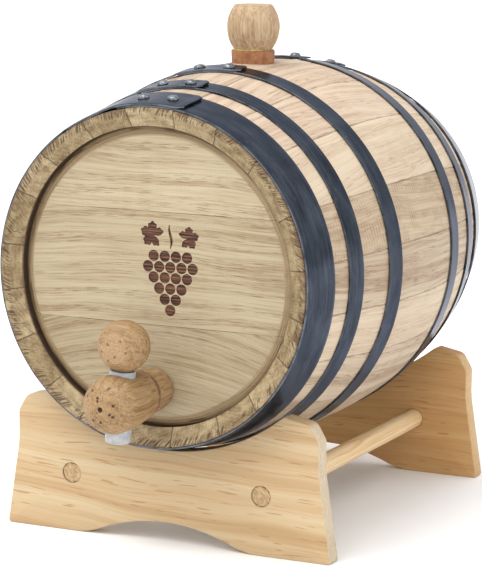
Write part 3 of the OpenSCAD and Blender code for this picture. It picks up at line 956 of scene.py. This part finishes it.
def bung_wood_material():
    s = Shader("turned_bung_wood")
    x, y, z = s.place()
    look = {
        "light": (193, 171, 141), "mid": (179, 153, 121), "dark": (160, 128, 96),
        "pore": (127, 95, 66), "seed": 5, "tilt": 0.02, "wander": 3, "ring": 1.9,
        "bands": 0.2, "pores": 0.4, "rays": 0.2}
    colour, height, _ = wood(s, z, s.add(x, 40.0), s.add(y, 10.0), look)
    return finish_wood(s, colour, height, relief=0.1)


def rubber_material():
    s = Shader("bung_rubber")
    x, y, z = s.place()
    cloud = s.noise(x, y, z, scale=0.35, detail=4, rough=0.6)
    colour = s.ramp(cloud, (0.34, (132, 82, 50)), (0.52, (151, 100, 64)), (0.7, (165, 116, 77)))
    s.set(Base_Color=colour, Roughness=0.62)
    s.bump(s.noise(x, y, z, scale=2.5, detail=3), 0.05 * MM, 0.7)
    return s.mat


def glue_material():
    s = Shader("old_wood_glue")
    x, y, z = s.place()
    tone = s.noise(x, y, z, scale=0.8, detail=3)
    colour = s.ramp(tone, (0.35, (150, 138, 52)), (0.65, (196, 186, 88)))
    s.set(Base_Color=colour, Roughness=0.35)
    return s.mat


def make_bung():
    plug_lo, plug_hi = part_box("bung_plug")
    knob_lo, knob_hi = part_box("bung_knob")
    centre = (plug_lo + plug_hi) / 2
    place = Matrix.Translation((centre.x, centre.y, plug_hi.z))
    top_r = (plug_hi.x - plug_lo.x) / 2 + 0.03 * MM
    length = plug_hi.z - plug_lo.z
    low_r = top_r - length * PLUG_TAPER
    profile = fillet([(0, 0), (top_r - 0.02 * MM, 0, 0.8 * MM), (low_r, -length, 0.6 * MM), (0, -length)])
    plug = lathe("bung_plug_rubber", profile, place, rubber_material(), wobble=0.12 * MM)
    add_piece(plug, "bung", "bung_rubber", "bung_plug")

    knob_r = (knob_hi.x - knob_lo.x) / 2
    height = knob_hi.z - plug_hi.z
    bulge = knob_r - KNOB_BELLY_R
    side = []
    steps = 26
    for k in range(steps + 1):
        h = height * (0.035 + 0.93 * k / steps)
        side.append((bulge + math.sqrt(KNOB_BELLY_R ** 2 - (h - height / 2) ** 2), h))
    foot = side[0][0]
    top = side[-1][0]
    profile = [(0, -0.3 * MM), (foot - 0.6 * MM, -0.3 * MM), (foot - 0.5 * MM, 0.05 * MM),
               (foot - 0.12 * MM, 0.3 * MM), *side,
               (top - 0.25 * MM, height - 0.25 * MM), (top - 0.9 * MM, height),
               (top * 0.5, height - 0.03 * MM), (0, height)]
    knob = lathe("bung_knob_turned", profile, place, bung_wood_material(), segments=120, wobble=0.15 * MM)
    add_piece(knob, "bung", "bung_wood", "bung_knob")

    # A bead of glue squeezed out between knob and plug.
    bead = []
    for k in range(13):
        t = math.pi * k / 12
        bead.append((foot - 0.2 * MM + 0.62 * MM * math.cos(t), 0.55 * MM * math.sin(t)))
    bead.append(bead[0])
    glue = lathe("bung_glue_bead", bead, place, glue_material(), wobble=0.8 * MM)
    add_piece(glue, "bung", "bung_rubber")


# ---------------------------------------------------------------- tap

TAP_Z = (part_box("tap_body")[0].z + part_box("tap_body")[1].z) / 2


def tap_wood_material(name, seed, front_y, groove_y):
    """Turned wood: pitted end grain in front, its pits and the lathe centre's hole painted dark as shade;
    the body also has a burnt groove behind.
    """
    s = Shader(name)
    x, y, z = s.place()
    look = {
        "light": (168, 140, 104), "mid": (152, 122, 85), "dark": (129, 96, 62),
        "pore": (103, 71, 45), "seed": seed, "tilt": 0.03, "wander": 4, "ring": 1.7,
        "bands": 0.25, "pores": 0.25, "rays": 0.2}
    # The body's grain runs along it; the ball's runs across.
    along, depth = (y, x) if groove_y else (x, y)
    colour, height, _ = wood(s, along, s.add(z, s.times(depth, 0.4)), s.add(depth, 30.0), look)
    behind = s.sub(y, front_y / MM)
    speck = s.noise(x, z, seed, scale=1.6, detail=4, rough=0.7)
    shaded_pits = s.cells(s.add(x, s.times(speck, 2.6)), s.add(z, seed), 4.6)
    shaded_pits = s.step(shaded_pits, 0.17, 0.1)
    if groove_y:
        # The nose's end grain fades into the side; the lathe's centre left a hole in it.
        nose = s.step(behind, 6.0, 2.0)
        dark = s.times(s.times(nose, s.step(speck, 0.52, 0.7)), 0.22)
        colour = s.mix(dark, colour, (116, 82, 54))
        near = s.abs(s.sub(y, groove_y / MM))
        burnt = s.noise((x, 0.2), (z, 0.2), 4.0, detail=2)
        burnt = s.times(s.step(near, 1.9, 1.1), s.step(burnt, 0.15, 0.45))
        colour = s.stain(colour, burnt, 0.8, (96, 58, 34))
        up = s.sub(z, TAP_Z / MM)
        centre = s.length(x, up)
        # The lathe centre's hole is painted dark: painted shade in the hollow.
        hole = s.times(s.step(centre, 1.35, 0.95), s.step(behind, 4.0, 3.0))
        shaded_pits = s.math("MAXIMUM", s.times(shaded_pits, s.step(centre, 1.6, 2.4)), hole)
    else:
        # The ball's flat end shows paler end grain.
        nose = s.step(behind, 0.16, 0.04)
        end_colour = s.ramp(speck, (0.34, (146, 113, 79)), (0.5, (168, 136, 101)),
                            (0.66, (184, 156, 122)))
        colour = s.stain(colour, nose, 0.85, end_colour)
        shaded_pits = s.times(shaded_pits, 0.6)
    shaded_pits = s.times(shaded_pits, nose)
    # The pits and the centre hole are darkened: painted shade in their hollows.
    colour = s.stain(colour, shaded_pits, 0.92, (58, 33, 20))
    height = s.sub(height, shaded_pits)
    return finish_wood(s, colour, height, relief=0.14, roughness=0.55)


def plastic_material():
    s = Shader("milky_plastic")
    x, y, z = s.place()
    cloud = s.noise(x, y, z, scale=0.3, detail=2)
    colour = s.ramp(cloud, (0.3, (176, 179, 184)), (0.7, (212, 214, 217)))
    s.set(Base_Color=colour, Roughness=0.22, Transmission_Weight=0.3, IOR=1.46)
    s.bump(s.noise(x, y, (z, 0.2), scale=0.8, detail=2), 0.05 * MM, 0.5)
    return s.mat


def along_tap():
    """Places a lathe profile whose height runs back from the tap's front end."""
    lo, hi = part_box("tap_body")
    centre = (lo + hi) / 2
    return Matrix.Translation((centre.x, lo.y, centre.z)) @ FROM_FRONT


# The key and its liner stand in the tap body, which is twisted a little in its hole.
TAP_TWIST = math.radians(4.5)
KEY_R = 5.65 * MM
NECK_R = 5.85 * MM
NECK_TOP = 14.2 * MM
KEY_TOP = 23.2 * MM
LINER_R = 6.6 * MM
LINER_TOP = 10.6 * MM
SPOUT_LEN = 17.8 * MM
KEY_HOLLOW_R = 3.8 * MM
PORT_R = 2.5 * MM
BALL_R = 11.4 * MM
HOLLOW_TOP = 3.4 * MM
PEG_R = 3.6 * MM
BALL_Z = 24.9 * MM
BALL_FLAT_R = 6.4 * MM
GROOVE_AT = 35.1 * MM
GROOVE_R = 9.95 * MM


def make_tap_body(at_key, key_at):
    lo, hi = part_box("tap_body")
    body_r = (hi.x - lo.x) / 2
    to_head = HEAD_FACE_Y - lo.y
    length = hi.y - lo.y
    # The nose has the mark of the lathe's centre in its middle.
    nose = [(0, 1.6 * MM), (0.7 * MM, 1.0 * MM), (1.15 * MM, 0.25 * MM)]
    nose_r = 12 * MM
    dished = 0.35 * MM
    steps = 14
    for k in range(steps + 1):
        t = math.radians(22 + 68 * k / steps)
        height = nose_r * (1 - math.cos(t)) - dished * (1 - k / steps)
        nose.append((body_r - nose_r + nose_r * math.sin(t), height))
    side = fillet([
        (body_r, 13 * MM), (body_r, 20 * MM, 40 * MM),
        (11.3 * MM, GROOVE_AT - 2 * MM, 0.5 * MM), (GROOVE_R, GROOVE_AT - 1.0 * MM, 0.5 * MM),
        (GROOVE_R, GROOVE_AT + 0.7 * MM, 0.5 * MM), (10.8 * MM, GROOVE_AT + 1.8 * MM, 0.6 * MM),
        (10.35 * MM, 41 * MM, 8 * MM), (9.9 * MM, 47 * MM, 6 * MM),
        (8.9 * MM, to_head - 0.4 * MM, 0.4 * MM), (8.3 * MM, to_head - 0.3 * MM)])
    shank = [
        (8.2 * MM, to_head), (7.6 * MM, length - 0.6 * MM), (7.0 * MM, length), (PORT_R, length),
        (PORT_R, key_at + 2 * MM), (0, key_at + 2 * MM)]
    profile = [(max(r, 0), max(h, 0)) for r, h in nose] + side + shank
    material = tap_wood_material("turned_tap_wood", 3.0, lo.y, lo.y + GROOVE_AT)
    body = lathe("tap_body_turned", profile, along_tap(), material, segments=120, wobble=0.1 * MM)
    hole_r = LINER_R + 0.06 * MM
    neck_hole_r = NECK_R + 0.15 * MM
    past = body_r + 2 * MM
    hole = [(0, -past), (hole_r, -past), (hole_r, LINER_TOP), (neck_hole_r, LINER_TOP + FIT),
            (neck_hole_r, past), (0, past)]
    cut_turned(body, hole, at_key)
    finish_mesh(body, material, 32)
    add_piece(body, "tap", "tap_wood", "tap_body")


def make_key_stem(at_key, plastic):
    """The stem: a spout with a chamfered mouth, a collar with a lip, thinly moulded."""
    profile = fillet([
        (0, HOLLOW_TOP), (KEY_HOLLOW_R, HOLLOW_TOP, 0.4 * MM), (KEY_HOLLOW_R, 0.5 * MM - SPOUT_LEN),
        (KEY_HOLLOW_R + 0.5 * MM, -SPOUT_LEN, 0.15 * MM), (KEY_R - 0.05 * MM, -SPOUT_LEN, 0.5 * MM),
        (KEY_R, 4 * MM - SPOUT_LEN), (KEY_R, LINER_TOP), (NECK_R, LINER_TOP + 0.05 * MM, 0.1 * MM),
        (NECK_R, NECK_TOP, 0.35 * MM), (PEG_R, NECK_TOP, 0.1 * MM), (PEG_R, KEY_TOP, 0.5 * MM),
        (0, KEY_TOP)])
    stem = lathe("key_stem_moulded", profile, at_key, plastic, segments=72)
    port = [(0, 1 * MM), (PORT_R, 1 * MM), (PORT_R, 8 * MM), (0, 8 * MM)]
    cut_turned(stem, port, at_key @ Matrix.Rotation(math.pi / 2, 4, "Y"), segments=48)
    finish_mesh(stem, plastic, 40)
    add_piece(stem, "key", "tap_plastic", "key_stem")


def make_key_ball(at_key):
    """Turned about Y like the tap body: flats at both ends, a crisp arris round each."""
    flat_y = math.sqrt(BALL_R ** 2 - BALL_FLAT_R ** 2)
    arris = 0.12 * MM
    arc = []
    steps = 30
    for k in range(steps + 1):
        h = -(flat_y - arris) + 2 * (flat_y - arris) * k / steps
        arc.append((math.sqrt(BALL_R ** 2 - h * h), h))
    rim = BALL_FLAT_R - 0.1 * MM
    profile = [(0, -flat_y), (rim, -flat_y), *arc, (rim, flat_y), (0, flat_y)]
    centre = at_key @ Vector((0, 0, BALL_Z))
    place = Matrix.Translation(centre) @ FROM_FRONT
    material = tap_wood_material("turned_ball_wood", 8.0, centre.y - flat_y, None)
    ball = lathe("key_ball_turned", profile, place, material, segments=96, wobble=0.06 * MM)
    low = BALL_Z - BALL_R * 1.2
    below = [(0, low), (BALL_R, low), (BALL_R, NECK_TOP + 0.1 * MM), (0, NECK_TOP + 0.1 * MM)]
    cut_turned(ball, below, at_key)
    finish_mesh(ball, material, 32)
    add_piece(ball, "key", "tap_wood", "key_ball")


def make_tap():
    stem_lo, stem_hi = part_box("key_stem")
    key_y = (stem_lo.y + stem_hi.y) / 2
    at_key = Matrix.Translation((0, key_y, TAP_Z)) @ Matrix.Rotation(TAP_TWIST, 4, "Y")
    plastic = plastic_material()
    finish_cad(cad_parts["tap_liner"], plastic)
    make_tap_body(at_key, key_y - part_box("tap_body")[0].y)
    make_key_stem(at_key, plastic)
    make_key_ball(at_key)


# ---------------------------------------------------------------- stand

TIP_X = 58.6 * MM
CRADLE_R = 92 * MM
SHOULDER_X = 71.3 * MM
SHOULDER_DROP = 2.4 * MM
WAIST_X = 75.8 * MM
WAIST_LOW = 40 * MM
WAIST_HIGH = 54 * MM
ARCH_HALF = 47 * MM
ARCH_H = 9.5 * MM
FOOT_ROUND = 36 * MM


def pine_material(name, seed, tilt, honey_and_shade):
    """Planed pine: cream wood, orange late-wood lines, short resin streaks.

    The last argument, from 0 to 1, tints the board towards honey: partly the wood's own tone, partly
    painted warm shade and bounce light."""
    s = Shader(name)
    x, y, z = s.place()
    side = s.add(z, s.times(x, tilt))
    drift = s.noise((x, 0.008), (side, 0.02), seed, detail=2)
    side = s.add(side, s.times(s.sub(drift, 0.5), 22))
    layer = s.add(side, s.times(y, 0.6))
    broad = s.noise((layer, 0.12), (x, 0.004), seed, detail=2)
    fine = s.noise((layer, 0.55), (x, 0.006), seed + 3, detail=3, rough=0.6)
    value = s.add(s.times(broad, 0.75), s.times(fine, 0.25))
    colour = s.ramp(value, (0.34, (180, 151, 111)), (0.46, (193, 167, 130)),
                    (0.58, (199, 179, 144)), (0.72, (206, 189, 159)))
    line = s.noise((layer, 0.42), (x, 0.005), seed + 9, detail=1)
    line = s.abs(s.sub(line, 0.5))
    line = s.times(s.step(line, 0.035, 0.0), 0.4)
    colour = s.mix(line, colour, (173, 136, 92))
    streak = s.noise((side, 1.15), (x, 0.085), s.add(s.times(y, 0.9), seed), detail=0)
    streak = s.step(streak, 0.73, 0.79)
    colour = s.stain(colour, streak, 0.6, (160, 117, 75))
    fuzz = s.noise((side, 2.4), (x, 0.2), (y, 2.4), detail=3)
    colour = s.stain(colour, s.step(fuzz, 0.5, 0.75), 0.15, (182, 140, 96))
    # End grain shows on the narrow edges that face along X.
    local = s.node("VectorTransform", {0: s.node("NewGeometry", {}).outputs["Normal"]},
                   vector_type="NORMAL", convert_from="WORLD", convert_to="OBJECT")
    normal = s.split(local.outputs[0])
    facing = s.step(s.abs(normal[0]), 0.45, 0.85)
    end_grain = s.noise((x, 0.4), (y, 1.3), (z, 0.5), detail=4, rough=0.7)
    end_colour = s.ramp(end_grain,
                        (0.3, (178, 158, 131)), (0.55, (200, 188, 165)), (0.8, (209, 201, 182)))
    colour = s.stain(colour, facing, 0.85, end_colour)
    # Honey tint: partly the board's own tone, partly painted warm shade and bounce light.
    colour = s.mix(honey_and_shade, colour, (255, 222, 176), "MULTIPLY")
    height = s.add(s.times(fuzz, 0.5), s.times(streak, -0.4))
    return finish_wood(s, colour, height, relief=0.08, roughness=0.55)


def dowel_material():
    s = Shader("pine_dowel")
    x, y, z = s.place()
    drift = s.noise((x, 0.06), (y, 0.01), (z, 0.06), detail=2)
    layer = s.add(s.add(z, s.times(x, 0.35)), s.times(s.sub(drift, 0.5), 6))
    grain = s.noise((layer, 0.9), (y, 0.01), 2.0, detail=3, rough=0.6)
    colour = s.ramp(grain, (0.34, (212, 174, 124)), (0.48, (228, 198, 154)), (0.66, (238, 216, 176)))
    fuzz = s.noise((x, 2.5), (y, 0.15), (z, 2.5), detail=3)
    colour = s.stain(colour, s.step(fuzz, 0.5, 0.75), 0.25, (190, 136, 82))
    # Sawn ends: rough end grain, torn along a slant.
    lo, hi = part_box("right_dowel")
    end = s.abs(s.sub(y, (lo.y + hi.y) / 2 / MM))
    end = s.step(end, (hi.y - lo.y) / 2 / MM - 0.4, (hi.y - lo.y) / 2 / MM - 0.1)
    pore = s.noise(s.add(x, z), (y, 0.5), (s.sub(x, z), 0.35), scale=0.9, detail=5, rough=0.75)
    end_colour = s.ramp(pore, (0.32, (136, 106, 72)), (0.5, (178, 149, 108)), (0.68, (206, 180, 140)))
    out = s.sub(s.abs(x), (lo.x + hi.x) / 2 / MM)
    up = s.sub(z, (lo.z + hi.z) / 2 / MM)
    from_axis = s.length(out, up)
    # A dark arc round the rim of each end: painted shadow of the gap between the dowel and its hole.
    edge_patches = s.noise((x, 0.35), (z, 0.35), 8.0, detail=1)
    rim = s.times(s.step(from_axis, 3.9, 4.5), s.step(edge_patches, 0.4, 0.55))
    end_colour = s.stain(end_colour, rim, 0.8, (92, 64, 40))
    colour = s.mix(end, colour, end_colour)
    height = s.add(s.times(fuzz, 0.4), s.times(s.times(pore, end), 0.8))
    return finish_wood(s, colour, height, relief=0.1, roughness=0.55)


def arc_between(centre, radius, start, end, count):
    """Points on a circle in the XZ plane, from angle start to end, in degrees."""
    points = []
    for k in range(count + 1):
        t = math.radians(start + (end - start) * k / count)
        points.append((centre[0] + radius * math.cos(t), centre[1] + radius * math.sin(t)))
    return points


def board_outline():
    """Right half of the outline from the arch's crown to the cradle's lowest point."""
    lo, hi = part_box("front_board")
    half_w = (hi.x - lo.x) / 2
    tip_z = hi.z
    arch_r = (ARCH_HALF ** 2 + ARCH_H ** 2) / (2 * ARCH_H) - FOOT_ROUND
    lean = math.degrees(math.asin(ARCH_HALF / (arch_r + FOOT_ROUND)))
    cradle_z = tip_z + math.sqrt(CRADLE_R ** 2 - TIP_X ** 2)
    tip_lean = math.degrees(math.asin(TIP_X / CRADLE_R))
    points = arc_between((0, ARCH_H - arch_r), arch_r, 90, 90 - lean, 16)
    points += arc_between((ARCH_HALF, FOOT_ROUND), FOOT_ROUND, 270 - lean, 270, 10)[1:]
    points += fillet([
        (ARCH_HALF, 0), (half_w, 0, 1.4 * MM), (WAIST_X, WAIST_LOW, 40 * MM), (WAIST_X, WAIST_HIGH, 4 * MM),
        (SHOULDER_X, tip_z - SHOULDER_DROP, 5 * MM), (TIP_X + 0.2 * MM, tip_z, 1.2 * MM),
        (TIP_X - 3 * MM, tip_z - 2.5 * MM)])[1:-1]
    points += arc_between((0, cradle_z), CRADLE_R, 270 + tip_lean - 1, 270, 40)
    return points


def skin(work, sections):
    """Walls between rings of (x, z) points, each at its y. Returns the end rings' edges."""
    rings = []
    for points, y in sections:
        verts = [work.verts.new((x, y, z)) for x, z in points]
        edges = [work.edges.new((verts[i - 1], verts[i])) for i in [*range(1, len(verts)), 0]]
        if rings:
            for face in ring_faces(rings[-1][0], verts):
                work.faces.new(face)
        rings.append((verts, edges))
    return rings[0][1], rings[-1][1]


def inset_points(points, amount):
    """A closed outline, counted anticlockwise, moved inwards."""
    out = []
    count = len(points)
    for i, p in enumerate(points):
        along = Vector(points[(i + 1) % count]) - Vector(points[i - 1])
        inward = Vector((-along.y, along.x)).normalized()
        out.append(tuple(Vector(p) + inward * amount))
    return out


def make_board(node, material):
    """A cradle board with softly broken edges and the two dowel holes."""
    lo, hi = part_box(node)
    right = board_outline()
    outline = right + [(-x, z) for x, z in reversed(right)][1:-1]
    dowel_lo, dowel_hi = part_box("right_dowel")
    hole_x = (dowel_lo.x + dowel_hi.x) / 2
    hole_z = (dowel_lo.z + dowel_hi.z) / 2
    hole_r = (dowel_hi.x - dowel_lo.x) / 2 + FIT
    soft = 0.7 * MM
    flare = 0.3 * MM
    steps = [(soft, 0), (soft * 0.3, soft * 0.3), (0, soft)]
    sections = [(inset_points(outline, inset), lo.y + depth) for inset, depth in steps]
    sections += [(inset_points(outline, inset), hi.y - depth) for inset, depth in steps[::-1]]
    work = bmesh.new()
    front, back = skin(work, sections)
    for side in (-1, 1):
        rings = []
        for grow, y in ((flare, lo.y), (0, lo.y + flare), (0, hi.y - flare), (flare, hi.y)):
            rings.append((circle_points(side * hole_x, hole_z, hole_r + grow, 48), y))
        first, last = skin(work, rings)
        front += first
        back += last
    for edges in (front, back):
        bmesh.ops.triangle_fill(work, use_beauty=True, use_dissolve=False, edges=edges)
    mesh = bpy.data.meshes.new(f"{node}_pine")
    work.to_mesh(mesh)
    work.free()
    board = link_new(f"{node}_pine", mesh)
    finish_mesh(board, material, 30)
    add_piece(board, "stand", "stand_pine", node)


def make_stand():
    make_board("front_board", pine_material("pine_front_board", 4.0, 0.05, 0.1))
    # The rear board's strong honey tint is partly painted warm shade.
    make_board("rear_board", pine_material("pine_rear_board", 31.0, 0.03, 0.8))
    material = dowel_material()
    for node in ("left_dowel", "right_dowel"):
        lo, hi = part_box(node)
        centre = (lo + hi) / 2
        radius = (hi.x - lo.x) / 2
        length = hi.y - lo.y
        place = Matrix.Translation((centre.x, lo.y, centre.z)) @ FROM_FRONT
        profile = fillet([(0, 0), (radius, 0, 0.3 * MM), (radius, length, 0.3 * MM), (0, length)])
        dowel = lathe(f"{node}_turned", profile, place, material, segments=64, wobble=0.06 * MM)
        add_piece(dowel, "stand", "dowel_pine", node)


def finish_cad(obj, material):
    """Gives a CAD node that stays in view its material."""
    obj.data.materials.clear()
    obj.data.materials.append(material)


def make_pins():
    """The heads' alignment pins are CAD nodes; they show only when a head is opened."""
    s = Shader("oak_pins")
    x, y, z = s.place()
    look = {"light": (214, 184, 140), "mid": (196, 162, 118), "dark": (170, 132, 92),
            "pore": OAK_PORE, "seed": 77, "ring": 1.6}
    colour, height, _ = wood(s, z, x, y, look)
    material = finish_wood(s, colour, height)
    for node in ("front_head_pins", "rear_head_pins"):
        finish_cad(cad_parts[node], material)


# ---------------------------------------------------------------- stage


def make_stage():
    """A pale floor under a white sky, a broad soft key and a camera at the picture's angle."""
    mesh = bpy.data.meshes.new("floor")
    size = 6.0
    corners = [(-size, -size, 0), (size, -size, 0), (size, size, 0), (-size, size, 0)]
    mesh.from_pydata(corners, [], [(0, 1, 2, 3)])
    floor = link_new("floor", mesh)
    s = Shader("pale_floor")
    s.set(Base_Color=(0.96, 0.96, 0.96, 1), Roughness=0.9)
    floor.data.materials.append(s.mat)

    scene = bpy.context.scene
    scene.view_settings.view_transform = "Standard"
    world = bpy.data.worlds.new("white_studio")
    scene.world = world
    world.use_nodes = True
    sky = world.node_tree.nodes["Background"]
    sky.inputs["Color"].default_value = (1, 1, 1, 1)
    sky.inputs["Strength"].default_value = 1.0
    # Where each lamp's light travels, its energy and its softness in degrees.
    lamps = (("overhead", (0.3, 0.35, -1), 2.2, 55), ("fill", (-0.8, 0.7, -0.9), 0.35, 70))
    for name, direction, energy, softness in lamps:
        light = bpy.data.lights.new(name, "SUN")
        light.energy = energy
        light.angle = math.radians(softness)
        lamp = link_new(name, light)
        lamp.rotation_euler = Vector(direction).to_track_quat("-Z", "Y").to_euler()

    # Heading, tilt and roll of the view, and where it is taken from.
    heading, tilt, roll = 0.4525, 0.1714, -0.0061
    eye = Vector((0.5210, -1.0669, 0.3099))
    level = math.cos(tilt)
    forward = Vector((-math.sin(heading) * level, math.cos(heading) * level, -math.sin(tilt)))
    right = Vector((math.cos(heading), math.sin(heading), 0))
    down = forward.cross(right)
    across = right * math.cos(roll) + down * math.sin(roll)
    under = down * math.cos(roll) - right * math.sin(roll)
    camera = link_new("camera", bpy.data.cameras.new("camera"))
    turn = Matrix((across, -under, -forward)).transposed().to_4x4()
    camera.matrix_world = Matrix.Translation(eye) @ turn
    camera.data.sensor_width = 36
    camera.data.lens = 158.7
    camera.data.clip_start = 0.05
    scene.camera = camera


make_stage()
make_staves()
make_heads()
make_pins()
make_hoops()
make_rivets()
make_bung()
make_tap()
make_stand()
